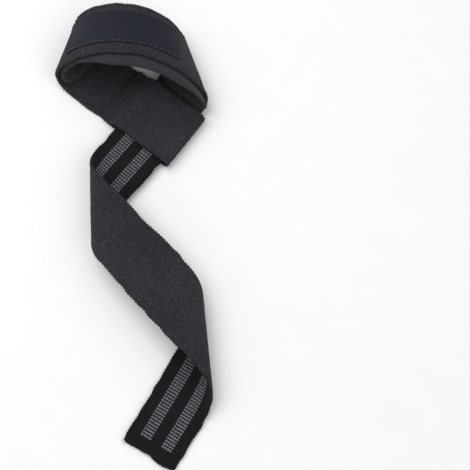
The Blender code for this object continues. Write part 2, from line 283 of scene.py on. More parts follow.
def wovenCotton(name, gap, yarn, pale, fibre):
    made, tree, shader = newMaterial(name, roughness=0.92, sheen=0.04, gloss=0.12)
    uv = addNode(tree, "ShaderNodeUVMap", uv_map="cloth").outputs["UV"]
    drifted = noiseShift(tree, uv, weave["driftScale"], weave["drift"])
    moved = noiseShift(tree, drifted, weave["jitterScale"], weave["jitter"])
    perUnit = (1 / weave["warpPitch"], 1 / weave["weftPitch"], 0)
    threads = addNode(tree, "ShaderNodeVectorMath", {0: moved, 1: perUnit}, operation="MULTIPLY")
    parts = addNode(tree, "ShaderNodeSeparateXYZ", {0: threads.outputs[0]})
    ridges = []
    for axis in ("X", "Y"):
        turned = addNode(tree, "ShaderNodeMath", {0: parts.outputs[axis], 1: math.pi}, operation="MULTIPLY")
        wave = addNode(tree, "ShaderNodeMath", {0: turned.outputs[0]}, operation="SINE")
        ridges.append(addNode(tree, "ShaderNodeMath", {0: wave.outputs[0]}, operation="ABSOLUTE").outputs[0])
    over = addNode(tree, "ShaderNodeTexChecker", {"Vector": threads.outputs[0], "Scale": 1.0})
    crowns = []
    for own, other in (ridges, ridges[::-1]):
        crest = addNode(tree, "ShaderNodeMath", {0: other, 1: weave["crest"], 2: 1 - weave["crest"]},
                        operation="MULTIPLY_ADD")
        crowns.append(addNode(tree, "ShaderNodeMath", {0: own, 1: crest.outputs[0]}, operation="MULTIPLY"))
    height = addNode(tree, "ShaderNodeMix", {0: over.outputs["Fac"], 2: crowns[0].outputs[0],
                                             3: crowns[1].outputs[0]}, data_type="FLOAT")
    dyed = addNode(tree, "ShaderNodeTexNoise", {"Vector": uv, "Scale": weave["dyeScale"], "Detail": 7.0,
                                                "Roughness": 0.8})
    yarns = addNode(tree, "ShaderNodeMapRange", {0: dyed.outputs["Fac"], 1: 0.36, 2: 0.64})
    tone = addNode(tree, "ShaderNodeMix", {0: yarns.outputs[0], 6: colour(yarn), 7: colour(pale)},
                   data_type="RGBA")
    brushed = addNode(tree, "ShaderNodeTexNoise", {"Vector": uv, "Scale": weave["brushScale"], "Detail": 3.0})
    gapShadeLift = addNode(tree, "ShaderNodeMapRange", {0: brushed.outputs["Fac"], 1: 0.35, 2: 0.65, 3: 0.0,
                                                 4: weave["brush"]})
    # painted shade: where the weave is low, between the yarns, the colour goes to the dark gap colour; a
    # noise lifts it at random in places
    gapShadeAmount = addNode(tree, "ShaderNodeMapRange", {0: height.outputs[0], 1: 0.05, 2: 0.6,
                                                 3: gapShadeLift.outputs[0], 4: 1.0})
    shaded = addNode(tree, "ShaderNodeMix", {0: gapShadeAmount.outputs[0], 6: colour(gap), 7: tone.outputs[2]},
                     data_type="RGBA")
    hair = addNode(tree, "ShaderNodeMapping", {"Vector": moved, "Rotation": (0, 0, weave["hairTurn"]),
                                               "Scale": weave["hairScale"]})
    undyed = addNode(tree, "ShaderNodeTexNoise", {"Vector": hair.outputs[0], "Scale": 1.0, "Detail": 5.0,
                                                  "Roughness": 0.7})
    shows = addNode(tree, "ShaderNodeMapRange", {0: undyed.outputs["Fac"], 1: 0.54, 2: 0.72,
                                                 4: weave["heather"]})
    heather = addNode(tree, "ShaderNodeMix", {0: shows.outputs[0], 6: shaded.outputs[2], 7: colour(fibre)},
                      data_type="RGBA")
    worn = addNode(tree, "ShaderNodeTexNoise", {"Vector": uv, "Scale": weave["wearScale"], "Detail": 3.0})
    wear = addNode(tree, "ShaderNodeMapRange", {0: worn.outputs["Fac"], 1: 0.3, 2: 0.7,
                                                3: 1 - weave["wear"], 4: 1 + weave["wear"]})
    final = addNode(tree, "ShaderNodeVectorMath", {0: heather.outputs[2], "Scale": wear.outputs[0]},
                    operation="SCALE")
    relief = addNode(tree, "ShaderNodeMath", {0: undyed.outputs["Fac"], 1: 0.7, 2: height.outputs[0]},
                     operation="MULTIPLY_ADD")
    bump = addNode(tree, "ShaderNodeBump", {"Height": relief.outputs[0], "Distance": weave["bump"] * mm,
                                            "Strength": 1.0})
    tree.links.new(final.outputs[0], shader.inputs["Base Color"])
    tree.links.new(bump.outputs[0], shader.inputs["Normal"])
    return made


# Neoprene faced with fine knitted polyester: soft and matt, with a slight sheen where it rolls over. The
# shade in the pits between the knitted loops is painted into its colour.
knit = {"pitch": 0.9, "fuzzScale": 0.8, "bump": 0.1, "pitShade": "#222427", "face": "#2D3033", "pale": "#393C40"}


def knittedNeoprene(name):
    made, tree, shader = newMaterial(name, roughness=0.82, sheen=0.08, gloss=0.15)
    uv = addNode(tree, "ShaderNodeUVMap", uv_map="cloth").outputs["UV"]
    loops = addNode(tree, "ShaderNodeTexVoronoi", {"Vector": uv, "Scale": 1 / knit["pitch"],
                                                   "Randomness": 0.45})
    fuzz = addNode(tree, "ShaderNodeTexNoise", {"Vector": uv, "Scale": knit["fuzzScale"], "Detail": 5.0})
    face = addNode(tree, "ShaderNodeMix", {0: fuzz.outputs["Fac"], 6: colour(knit["face"]),
                                           7: colour(knit["pale"])}, data_type="RGBA")
    # painted shade: the pits between the knitted loops are drawn in the darker colour
    pitShadeAmount = addNode(tree, "ShaderNodeMapRange", {0: loops.outputs["Distance"], 1: 0.3, 2: 0.75})
    shade = addNode(tree, "ShaderNodeMix", {0: pitShadeAmount.outputs[0], 6: face.outputs[2],
                                            7: colour(knit["pitShade"])}, data_type="RGBA")
    relief = addNode(tree, "ShaderNodeMath", {0: 1.0, 1: loops.outputs["Distance"]}, operation="SUBTRACT")
    bump = addNode(tree, "ShaderNodeBump", {"Height": relief.outputs[0], "Distance": knit["bump"] * mm})
    tree.links.new(shade.outputs[2], shader.inputs["Base Color"])
    tree.links.new(bump.outputs[0], shader.inputs["Normal"])
    return made


# Damask label, woven from fine polyester in a satin bind: close and even, with a low silky gloss
label = {"pitch": 0.7, "slant": 0.46, "threadScale": 1.6, "bump": 0.05, "ground": "#171924",
         "float": "#1F222D"}
waveBands = 3.2  # how many bands a wave texture draws in one unit, at scale 1


def damaskLabel(name):
    made, tree, shader = newMaterial(name, roughness=0.62, sheen=0.02, gloss=0.15)
    uv = addNode(tree, "ShaderNodeUVMap", uv_map="cloth").outputs["UV"]
    steps = addNode(tree, "ShaderNodeMapping", {"Vector": uv, "Rotation": (0, 0, label["slant"])})
    ribs = addNode(tree, "ShaderNodeTexWave", {
        "Vector": steps.outputs[0], "Scale": 1 / label["pitch"] / waveBands, "Distortion": 0.6, "Detail": 2.0,
    })
    threads = addNode(tree, "ShaderNodeTexNoise", {"Vector": uv, "Scale": label["threadScale"],
                                                   "Detail": 4.0})
    mixed = addNode(tree, "ShaderNodeMath", {0: ribs.outputs["Fac"], 1: threads.outputs["Fac"]},
                    operation="MULTIPLY")
    tone = addNode(tree, "ShaderNodeMix", {0: mixed.outputs[0], 6: colour(label["ground"]),
                                           7: colour(label["float"])}, data_type="RGBA")
    bump = addNode(tree, "ShaderNodeBump", {"Height": ribs.outputs["Fac"], "Distance": label["bump"] * mm})
    tree.links.new(tone.outputs[2], shader.inputs["Base Color"])
    tree.links.new(bump.outputs[0], shader.inputs["Normal"])
    return made


# Silicone rubber, screen printed and cured on the cloth: slightly glossy, dusted by chalk in places
rubber = {"dustScale": 0.7, "bump": 0.05, "ground": "#101012", "groundWorn": "#18181B", "print": "#5F5F6C",
          "dusty": "#86868F"}


def siliconePrint(name, low, high, roughness):
    made, tree, shader = newMaterial(name, roughness=roughness, ior=1.41)
    uv = addNode(tree, "ShaderNodeUVMap", uv_map="cloth").outputs["UV"]
    dust = addNode(tree, "ShaderNodeTexNoise", {"Vector": uv, "Scale": rubber["dustScale"], "Detail": 5.0})
    spread = addNode(tree, "ShaderNodeMapRange", {0: dust.outputs["Fac"], 1: 0.35, 2: 0.7})
    tone = addNode(tree, "ShaderNodeMix", {0: spread.outputs[0], 6: colour(low), 7: colour(high)},
                   data_type="RGBA")
    bump = addNode(tree, "ShaderNodeBump", {"Height": dust.outputs["Fac"], "Distance": rubber["bump"] * mm})
    tree.links.new(tone.outputs[2], shader.inputs["Base Color"])
    tree.links.new(bump.outputs[0], shader.inputs["Normal"])
    return made


# Spun polyester sewing thread: two plies twisted together, a little shinier than the cotton
thread = {"plyScale": 2500.0, "shade": 0.4, "grey": "#52525C", "charcoal": "#2C2C33", "red": "#7A2A30",
          "cotton": "#2A2A30"}


def spunThread(name, code):
    made, tree, shader = newMaterial(name, roughness=0.6, sheen=0.05, gloss=0.2)
    place = addNode(tree, "ShaderNodeTexCoord").outputs["Object"]
    ply = addNode(tree, "ShaderNodeTexNoise", {"Vector": place, "Scale": thread["plyScale"], "Detail": 2.0})
    light = addNode(tree, "ShaderNodeMapRange", {0: ply.outputs["Fac"], 3: 1 - thread["shade"],
                                                 4: 1 + thread["shade"]})
    tone = addNode(tree, "ShaderNodeVectorMath", {0: linear(code), "Scale": light.outputs[0]},
                   operation="SCALE")
    tree.links.new(tone.outputs[0], shader.inputs["Base Color"])
    return made


cottonOuter = wovenCotton("charcoal cotton webbing", weave["gap"], weave["yarn"], weave["pale"],
                          weave["fibre"])
# a darker copy of the same cotton, drawn on the tail's inner face
cottonInner = wovenCotton("darker inner-face cotton webbing", weave["gapInner"], weave["yarnInner"],
                          weave["paleInner"], weave["fibreInner"])
neoprene = knittedNeoprene("knit-faced neoprene")
damask = damaskLabel("woven damask label")
rubberGround = siliconePrint("black printed silicone", rubber["ground"], rubber["groundWorn"],
                             roughness=0.75)
rubberPrint = siliconePrint("grey printed silicone", rubber["print"], rubber["dusty"], roughness=0.5)
paleThread = spunThread("grey polyester thread", thread["grey"])
darkThread = spunThread("charcoal polyester thread", thread["charcoal"])
redThread = spunThread("red polyester thread", thread["red"])
fibreThread = spunThread("loose cotton fibre", thread["cotton"])
print("materials made")


# Meshes
def addPiece(name, points, faces, uvs, materials, materialOf=None):
    mesh = bpy.data.meshes.new(name)
    mesh.from_pydata((np.asarray(points) * mm).tolist(), [], faces)
    layerUv = mesh.uv_layers.new(name="cloth")
    layerUv.data.foreach_set("uv", np.asarray(uvs, dtype=np.float32).ravel())
    for finish in materials:
        mesh.materials.append(finish)
    if materialOf is not None:
        mesh.polygons.foreach_set("material_index", np.asarray(materialOf, dtype=np.int32))
    mesh.shade_smooth()
    piece = bpy.data.objects.new(name, mesh)
    bpy.context.scene.collection.objects.link(piece)
    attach(piece, "root")
    return piece


def sweep(rings, along, girth):
    # closed rings, one for each place along, joined by quads and capped; uv is (way round, way along) in mm
    count, around = rings.shape[:2]
    ring, i = np.meshgrid(np.arange(count - 1), np.arange(around), indexing="ij")
    after = (i + 1) % around
    quads = np.stack([ring * around + i, (ring + 1) * around + i,
                      (ring + 1) * around + after, ring * around + after], axis=-1).reshape(-1, 4)
    corners = [(i, ring), (i, ring + 1), (i + 1, ring + 1), (i + 1, ring)]
    uv = np.stack([np.stack([girth[a], along[b]], axis=-1) for a, b in corners], axis=-2).reshape(-1, 2)
    first = list(range(around))
    last = [(count - 1) * around + k for k in range(around)][::-1]
    capUv = [(girth[k], along[0]) for k in range(around)]
    capUv += [(girth[k], along[-1]) for k in range(around)][::-1]
    faces = quads.tolist() + [first, last]
    return rings.reshape(-1, 3), faces, np.concatenate([uv, capUv]), i.ravel(), ring.ravel()


def roundLength(profile):
    closed = np.concatenate([profile, profile[:1]])
    return np.append(0, np.cumsum(np.linalg.norm(np.diff(closed, axis=0), axis=1)))


def bulge(value, middle, width):
    return np.exp(-((value - middle) / width)**2)


def wander(place, spacing, seed):  # a smooth, slow, seeded wobble from -1 to 1
    knots, knotsBefore = 400, 150  # in all, and before the place 0
    draw = np.random.RandomState(seed).uniform(-1, 1, knots)
    knot = place / spacing + knotsBefore
    low = np.floor(knot).astype(int)
    share = smooth(knot - low)
    return draw[low] * (1 - share) + draw[low + 1] * share


webbing = {
    "step": 0.5, "faceSpans": 34, "edgeSpans": 6,
    "selvage": 3.2, "selvageGroove": 0.34, "grooveWidth": 0.5, "middleGroove": 0.14,
    "loopPitch": 2.1, "loopSize": 0.22, "loopStagger": 0.2, "edgeWander": 0.45, "faceWander": 0.12,
    "faceSlant": 0.4, "hemRows": (1.6, 4.4), "seamDent": 0.3, "seamWidth": 0.7, "seamIn": 1.5,
    "darkerInnerFrom": -14.0,
    "cutWave": 1.1, "cutBack": 0.4, "cutReach": 6.0, "fray": 0.25, "fraySlant": 2.0,
    # spacing and seed of each wobble
    "leftWaves": (4.5, 3), "rightWaves": (5, 4), "faceWaves": (7, 5),
    "cutWaves": (5, 7), "frayWaves": (1.3, 8),
}
hemRows = [stripStart + place for place in webbing["hemRows"]]


def webbingProfile():
    half, radius = strap["width"] / 2, strap["thick"] / 2
    flat = half - radius
    face = flat * np.sin(np.linspace(-math.pi / 2, math.pi / 2, webbing["faceSpans"] + 1))
    face = 0.5 * face + 0.5 * np.linspace(-flat, flat, webbing["faceSpans"] + 1)
    turn = np.linspace(-math.pi / 2, math.pi / 2, webbing["edgeSpans"] + 1)[1:-1]
    edge = np.stack([flat + radius * np.cos(turn), radius * np.sin(turn)], axis=1)
    lower = np.stack([face, 0 * face - radius], axis=1)
    return np.concatenate([lower, edge, -lower, -edge])


def raggedCut(across, out):  # how far the cut end runs past its line
    frayed = webbing["fray"] * wander(across + webbing["fraySlant"] * out, *webbing["frayWaves"])
    return webbing["cutWave"] * (wander(across, *webbing["cutWaves"]) + frayed - webbing["cutBack"])


def makeWebbing():
    half = strap["width"] / 2
    profile = webbingProfile()
    along = np.linspace(stripStart, stripEnd, round((stripEnd - stripStart) / webbing["step"]) + 1)
    place, across, out = along[:, None], profile[None, :, 0], profile[None, :, 1]
    toEdge = half - np.abs(across)
    cut = webbing["selvageGroove"] * bulge(toEdge, webbing["selvage"], webbing["grooveWidth"])
    cut = cut + webbing["middleGroove"] * bulge(across, 0, webbing["grooveWidth"])
    for row in hemRows:
        dent = bulge(place, row, webbing["seamWidth"]) * (toEdge > webbing["seamIn"])
        cut = cut + webbing["seamDent"] * dent
    side, nearEdge = np.sign(across), smooth(1 - toEdge / webbing["selvage"])
    turns = place / webbing["loopPitch"] + webbing["loopStagger"] * side
    leftSway, rightSway = wander(place, *webbing["leftWaves"]), wander(place, *webbing["rightWaves"])
    sway = webbing["edgeWander"] * np.where(across > 0, leftSway, rightSway)
    moved = across + side * nearEdge * (webbing["loopSize"] * np.sin(2 * math.pi * turns) + sway)
    ripple = wander(place + webbing["faceSlant"] * across, *webbing["faceWaves"])
    lifted = out - np.sign(out) * cut + webbing["faceWander"] * ripple
    nearCut = smooth((place - stripEnd + webbing["cutReach"]) / webbing["cutReach"])
    rings = lay(place + nearCut * raggedCut(across, out), moved, lifted)
    rings[..., 2] = np.maximum(rings[..., 2], 0)  # it lies flat on the floor
    points, faces, uvs, way, ring = sweep(rings, along, roundLength(profile))
    halfEdge = webbing["edgeSpans"] // 2
    inner = (way >= len(profile) - halfEdge) | (way < webbing["faceSpans"] + halfEdge)
    # the tail's inner face is drawn in the darker copy of the cotton, from a little before the grips to the
    # cut end
    black = np.append(inner & (along[ring] > webbing["darkerInnerFrom"]), [False, True])  # and the two caps
    return addPiece("cotton_webbing", points, faces, uvs, [cottonOuter, cottonInner], black)


pad = {
    "thick": 3.6, "pinched": 1.7, "frontOverhang": 6.0, "backOverhang": 1.5, "length": 141.0,
    "toEndLoop": 3.0, "corner": 11.0, "cornerShare": 0.98, "endThin": 0.55, "endLength": 4.0, "gap": 0.3,
    "step": 0.9, "spans": 26, "rimSteps": 8,
    "seamIn": 3.4, "seamDepth": 0.7, "seamWidth": 0.8, "puckerPitch": 3.2, "pucker": 0.12,
    # how much of the front overhang there is, along the pad
    "shown": [(0.0, -0.3), (0.24, -0.15), (0.42, 1.0), (0.8, 1.0), (1.0, 0.6)],
}
padEnd = mouth - pad["toEndLoop"]
padStart = padEnd - pad["length"]


def cornerInset(place, start, end, corner):
    toEnd = np.minimum(place - start, end - place)
    inside = np.clip(corner - toEnd, 0, corner)
    return corner - np.sqrt(corner**2 - inside**2)


def makePad():
    half = strap["width"] / 2
    back = -half - pad["backOverhang"]
    high = -strap["thick"] / 2 - pad["gap"]
    shownPlaces, shown = zip(*pad["shown"])
    pinch = wrist.bends()[-arcSteps]
    along = np.linspace(padStart, padEnd, round(pad["length"] / pad["step"]) + 1)
    turn = np.linspace(-math.pi / 2, math.pi / 2, pad["rimSteps"] + 1)[1:-1]
    share = 0.5 + 0.5 * np.sin(np.linspace(-math.pi / 2, math.pi / 2, pad["spans"] + 1))
    rings = []
    for place in along:
        overhung = np.interp((place - padStart) / pad["length"], shownPlaces, shown)
        front = half + pad["frontOverhang"] * overhung
        inset = pad["cornerShare"] * cornerInset(place, padStart, padEnd, pad["corner"])
        toEnd = min(place - padStart, padEnd - place)
        thick = np.interp(place, [pinch - pad["corner"], pinch], [pad["thick"], pad["pinched"]])
        thick = thick * (pad["endThin"] + (1 - pad["endThin"]) * smooth(toEnd / pad["endLength"]))
        radius, middle = thick / 2, high - thick / 2
        low, top = back + inset + radius, front - inset - radius
        across = low + (top - low) * share
        toRim = np.minimum(across - (low - radius), (top + radius) - across)
        seam = bulge(toRim, pad["seamIn"], pad["seamWidth"])
        puff = pad["pucker"] * np.cos(2 * math.pi * place / pad["puckerPitch"])
        dent = thick / pad["thick"] * (pad["seamDepth"] + puff) * seam
        lower = np.stack([across, middle - radius + dent], axis=1)
        upper = np.stack([across, 0 * across + middle + radius], axis=1)[::-1]
        rimFront = np.stack([top + radius * np.cos(turn), middle + radius * np.sin(turn)], axis=1)
        rimBack = np.stack([low - radius * np.cos(turn), middle - radius * np.sin(turn)], axis=1)
        rings.append(np.concatenate([lower, rimFront, upper, rimBack]))
    rings = np.array(rings)
    placed = lay(along[:, None], rings[..., 0] / widthShare(along)[:, None], rings[..., 1])
    points, faces, uvs, _, _ = sweep(placed, along, roundLength(rings[len(rings) // 2]))
    return addPiece("neoprene_pad", points, faces, uvs, [neoprene])


patch = {
    "length": 74.0, "width": 24.0, "thick": 0.8, "middle": -109.0, "corner": 1.6, "gap": 0.02,
    "border": 0.66, "borderIn": 0.5, "raised": 0.16, "fieldDrop": 0.15, "endThin": 0.4, "endLength": 0.9,
    "step": 0.6, "spans": 40,
}


def makePatch():
    low = strap["thick"] / 2 + patch["gap"]
    start, end = patch["middle"] - patch["length"] / 2, patch["middle"] + patch["length"] / 2
    along = np.linspace(start, end, round(patch["length"] / patch["step"]) + 1)
    half, edge = patch["width"] / 2, patch["thick"] / 3
    share = np.sin(np.linspace(-math.pi / 2, math.pi / 2, patch["spans"] + 1))
    rings = []
    for place in along:
        inset = float(cornerInset(place, start, end, patch["corner"]))
        wide = half - inset
        toEnd = min(place - start, end - place)
        rim = patch["endThin"] + (1 - patch["endThin"]) * smooth(toEnd / patch["endLength"])
        across = (wide - edge) * share
        toSide = np.minimum(wide - np.abs(across), toEnd)
        border = patch["raised"] * bulge(toSide, patch["borderIn"], patch["border"])
        top = low + rim * (patch["thick"] - patch["fieldDrop"])
        upper = np.stack([across, top + border], axis=1)[::-1]
        lower = np.stack([across, 0 * across + low], axis=1)
        front = np.array([(wide, low + edge / 2), (wide, top - edge / 2)])
        back = np.array([(-wide, top - edge / 2), (-wide, low + edge / 2)])
        rings.append(np.concatenate([lower, front, upper, back]))
    rings = np.array(rings)
    placed = lay(along[:, None], rings[..., 0] / widthShare(along)[:, None], rings[..., 1])
    points, faces, uvs, _, _ = sweep(placed, along, roundLength(rings[len(rings) // 2]))
    return addPiece("bare_label_patch", points, faces, uvs, [damask])


grip = {
    "width": 7.6, "spacing": 15.2, "start": -9.0, "toEnd": 6.0, "ground": 0.16, "sunk": 0.2, "border": 1.2,
    "step": 1.5, "spans": 6, "rowPitch": 1.85, "columns": 4, "dashLength": 1.05, "dashWidth": 1.68,
    "dashHigh": 0.3, "softEdge": 0.28, "dashShift": 0.06, "dashChange": 0.08,
}


def dashShape():
    # a low pillow: a ring at the foot and a smaller one on top, as (along, across, height) shares
    corners = np.array([(-1, -0.6), (-0.7, -1), (0.7, -1), (1, -0.6),
                        (1, 0.6), (0.7, 1), (-0.7, 1), (-1, 0.6)])
    around = len(corners)
    foot = np.concatenate([corners, np.zeros((around, 1))], axis=1)
    top = np.concatenate([corners * (1 - grip["softEdge"]), np.ones((around, 1))], axis=1)
    sides = [[k, (k + 1) % around, around + (k + 1) % around, around + k] for k in range(around)]
    ends = [list(range(around))[::-1], list(range(around, 2 * around))]
    return np.concatenate([foot, top]), sides + ends


def makeGrip(name, middle, seed):
    surface = -strap["thick"] / 2
    start, border = grip["start"], grip["border"]
    rows = int((stripEnd - grip["toEnd"] - start - 2 * border) / grip["rowPitch"])
    end = start + 2 * border + (rows - 1) * grip["rowPitch"]
    along = np.linspace(start, end, round((end - start) / grip["step"]) + 1)
    half = grip["width"] / 2
    inner = np.linspace(-half, half, grip["spans"] + 1)
    lower = np.stack([middle + inner, 0 * inner + surface - grip["ground"]], axis=1)
    upper = np.stack([middle + inner, 0 * inner + surface + grip["sunk"]], axis=1)[::-1]
    profile = np.concatenate([lower, upper])
    points, faces, uvs, _, _ = sweep(lay(along[:, None], profile[None, :, 0], profile[None, :, 1]), along,
                                     roundLength(profile))
    points, uvs, finishes = [points], [uvs], [np.zeros(len(faces), dtype=int)]
    count = len(points[0])
    shape, sides = dashShape()
    draw = np.random.RandomState(seed)
    pitch = grip["width"] / grip["columns"]
    for row in range(rows):
        for column in range(grip["columns"]):
            shiftAlong, shiftAcross = draw.uniform(-grip["dashShift"], grip["dashShift"], 2)
            size = 1 + draw.uniform(-grip["dashChange"], grip["dashChange"])
            place = start + border + row * grip["rowPitch"] + shiftAlong
            place = place + shape[:, 0] * size * grip["dashLength"] / 2
            side = (column + 0.5) * pitch - half + shiftAcross
            across = middle + side + shape[:, 1] * size * grip["dashWidth"] / 2
            out = surface - grip["ground"] / 2 - shape[:, 2] * grip["dashHigh"]
            points.append(lay(place, across, out))
            faces += [[count + k for k in face] for face in sides]
            flat = np.stack([across, place], axis=1)
            uvs.append(np.concatenate([flat[face] for face in sides]))
            finishes.append(np.ones(len(sides), dtype=int))
            count += len(shape)
    return addPiece(name, np.concatenate(points), faces, np.concatenate(uvs), [rubberGround, rubberPrint],
                    np.concatenate(finishes))


def aboveFloor(points):
    points[..., 2] = np.maximum(points[..., 2], floorGap)
    return points


stitch = {
    "sides": 6, "steps": 7, "lengths": (0.85, 1.05), "rise": 1.1, "dip": 2.2, "taper": 0.45, "slant": 0.12,
    # each seam's stitch length, the gap to the next stitch and the thread's radius
    "patchFront": (1.7, 1.3, 0.17), "patchEdge": (1.8, 1.1, 0.18), "hem": (2.3, 0.9, 0.26),
    "padSeam": (2.6, 0.9, 0.24),
    # how far in from its edges each seam runs, and how deep it sits
    "patchSideIn": 0.9, "patchEndIn": 1.0, "patchSunk": 0.1, "hemIn": 4.2, "padSideIn": 2.4, "padEndIn": 4.0,
    "padSunk": 0.12,
}


def stitches(name, routes, out, finish, seam, seed):
    # routes are lists of (along, across) corners; each stitch is a short thread that dips in at both ends
    long, gap, radius = stitch[seam]
    sides, steps = stitch["sides"], stitch["steps"]
    ringAngle = np.linspace(0, 2 * math.pi, sides, endpoint=False)
    draw = np.random.RandomState(seed)
    points, faces = [], []
    count = 0
    for route in routes:
        route = np.array(route, dtype=float)
        lengths = np.append(0, np.cumsum(np.linalg.norm(np.diff(route, axis=0), axis=1)))
        for first in np.arange(gap, lengths[-1] - long, long + gap):
            way = first + np.linspace(0, long * draw.uniform(*stitch["lengths"]), steps)
            flat = np.stack([np.interp(way, lengths, route[:, k]) for k in (0, 1)], axis=1)
            ahead = np.gradient(flat, axis=0)
            ahead = ahead / np.linalg.norm(ahead, axis=1)[:, None]
            aside = np.stack([-ahead[:, 1], ahead[:, 0]], axis=1)
            share = np.linspace(-1, 1, steps)
            rise = radius * (stitch["rise"] - stitch["dip"] * share**4)
            thin = radius * (1 - stitch["taper"] * share**4)
            tilt = draw.uniform(-stitch["slant"], stitch["slant"]) * share
            spread = thin[:, None] * np.cos(ringAngle) + tilt[:, None]
            height = np.sign(out) * (abs(out) + rise[:, None] + thin[:, None] * np.sin(ringAngle))
            place = flat[:, None, 0] + aside[:, None, 0] * spread
            across = flat[:, None, 1] + aside[:, None, 1] * spread
            points.append(aboveFloor(lay(place, across, height)).reshape(-1, 3))
            for s in range(steps - 1):
                for k in range(sides):
                    after = (k + 1) % sides
                    quad = [s * sides + k, s * sides + after, (s + 1) * sides + after, (s + 1) * sides + k]
                    faces.append([count + v for v in (quad if out < 0 else quad[::-1])])
            ends = [list(range(sides))[::-1], list(range((steps - 1) * sides, steps * sides))]
            faces += [[count + v for v in (face if out < 0 else face[::-1])] for face in ends]
            count += steps * sides
    loops = sum(len(face) for face in faces)
    return addPiece(name, np.concatenate(points), faces, np.zeros((loops, 2)), [finish])


webbingPiece = makeWebbing()
print("webbing made")
padPiece = makePad()
print("pad made")
patchPiece = makePatch()
gripLeft = makeGrip("printed_grip_left", -grip["spacing"] / 2, seed=11)
gripRight = makeGrip("printed_grip_right", grip["spacing"] / 2, seed=12)
print("patch and grips made")

halfPatch = patch["width"] / 2 - stitch["patchSideIn"]
patchFrom = patch["middle"] - patch["length"] / 2 + stitch["patchEndIn"]
patchTo = patch["middle"] + patch["length"] / 2 - stitch["patchEndIn"]
patchTop = strap["thick"] / 2 + patch["thick"] - stitch["patchSunk"]
patchStitches = stitches("patch_front_stitches", [[(patchFrom, halfPatch), (patchTo, halfPatch)]],
                         patchTop, paleThread, "patchFront", seed=21)
patchEdges = stitches("patch_edge_stitches", [
    [(patchTo, halfPatch), (patchTo, -halfPatch)], [(patchTo, -halfPatch), (patchFrom, -halfPatch)],
    [(patchFrom, -halfPatch), (patchFrom, halfPatch)],
], patchTop, darkThread, "patchEdge", seed=24)
seamAcross = strap["width"] / 2 - stitch["hemIn"]
hemStitches = stitches("hem_stitches", [[(row, -seamAcross), (row, seamAcross)] for row in hemRows],
                       strap["thick"] / 2 - webbing["seamDent"], darkThread, "hem", seed=22)
sewnEdge = strap["width"] / 2 - stitch["padSideIn"]
sewnFrom, sewnTo = padStart + stitch["padEndIn"], padEnd - stitch["padEndIn"]
padRows = [[(sewnFrom, side * sewnEdge), (sewnTo, side * sewnEdge)] for side in (-1, 1)]
padSeams = stitches("pad_stitches", padRows, strap["thick"] / 2 - stitch["padSunk"], darkThread, "padSeam",
                    seed=23)
print("stitches made")

# Fibres that stand off the cloth: along its edges, over its faces, at the cut end, and one stray red thread
fibre = {
    "steps": 4, "sides": 3, "radius": 0.045, "taper": 0.4, "bend": (1.6, 1.0, 0.7),
    "aside": (0.31, 0.52, 0.8),  # a direction that hardly any fibre has
}


def makeFibres(name, starts, reach, finish, radius):
    # starts and reach are rows of (along, across, out), in mm; each fibre bends over towards its tip
    starts, reach = np.array(starts), np.array(reach)
    share = np.linspace(0, 1, fibre["steps"])[None, :]
    bent = [starts[:, k, None] + reach[:, k, None] * share**power for k, power in enumerate(fibre["bend"])]
    path = lay(*bent)
    ahead = np.gradient(path, axis=1)
    ahead = ahead / np.linalg.norm(ahead, axis=2)[..., None]
    aside = np.cross(ahead, fibre["aside"])
    aside = aside / np.linalg.norm(aside, axis=2)[..., None]
    above = np.cross(ahead, aside)
    angle = np.linspace(0, 2 * math.pi, fibre["sides"], endpoint=False)[:, None]
    thin = radius * (1 - (1 - fibre["taper"]) * share)[..., None, None]
    ring = thin * (np.cos(angle) * aside[:, :, None] + np.sin(angle) * above[:, :, None])
    points = aboveFloor(path[:, :, None] + ring)
    sides, faces = fibre["sides"], []
    for first in range(0, len(starts) * fibre["steps"] * sides, fibre["steps"] * sides):
        for s in range(fibre["steps"] - 1):
            low = first + s * sides
            faces += [[low + k, low + (k + 1) % sides, low + sides + (k + 1) % sides, low + sides + k]
                      for k in range(sides)]
        faces.append([first + k for k in range(sides)][::-1])
        faces.append([first + (fibre["steps"] - 1) * sides + k for k in range(sides)])
    loops = sum(len(face) for face in faces)
    return addPiece(name, points.reshape(-1, 3), faces, np.zeros((loops, 2)), [finish])


edgeFibre = {"count": 1500, "seed": 31, "in": 0.3, "out": 0.8, "along": 1.2, "across": (0.5, 1.3),
             "power": 1.5, "lift": 0.5}  # the power leaves few long ones


def makeEdgeFibres():
    count, high = edgeFibre["count"], edgeFibre["out"]
    far, lift = edgeFibre["along"], edgeFibre["lift"]
    draw = np.random.RandomState(edgeFibre["seed"])
    side = draw.choice([-1, 1], count)
    edge = side * (strap["width"] / 2 - edgeFibre["in"])
    starts = np.stack([draw.uniform(stripStart, stripEnd, count), edge,
                       draw.uniform(-high, high, count)], axis=1)
    reach = np.stack([draw.uniform(-far, far, count),
                      side * draw.uniform(*edgeFibre["across"], count)**edgeFibre["power"],
                      draw.uniform(-lift, lift, count)], axis=1)
    return makeFibres("edge_fibres", starts, reach, fibreThread, fibre["radius"])


faceFibre = {"count": 1600, "seed": 32, "halfWidth": 0.48, "patchGap": 1.0, "sunk": 0.05, "reach": 1.4,
             "lift": (0.08, 0.3)}


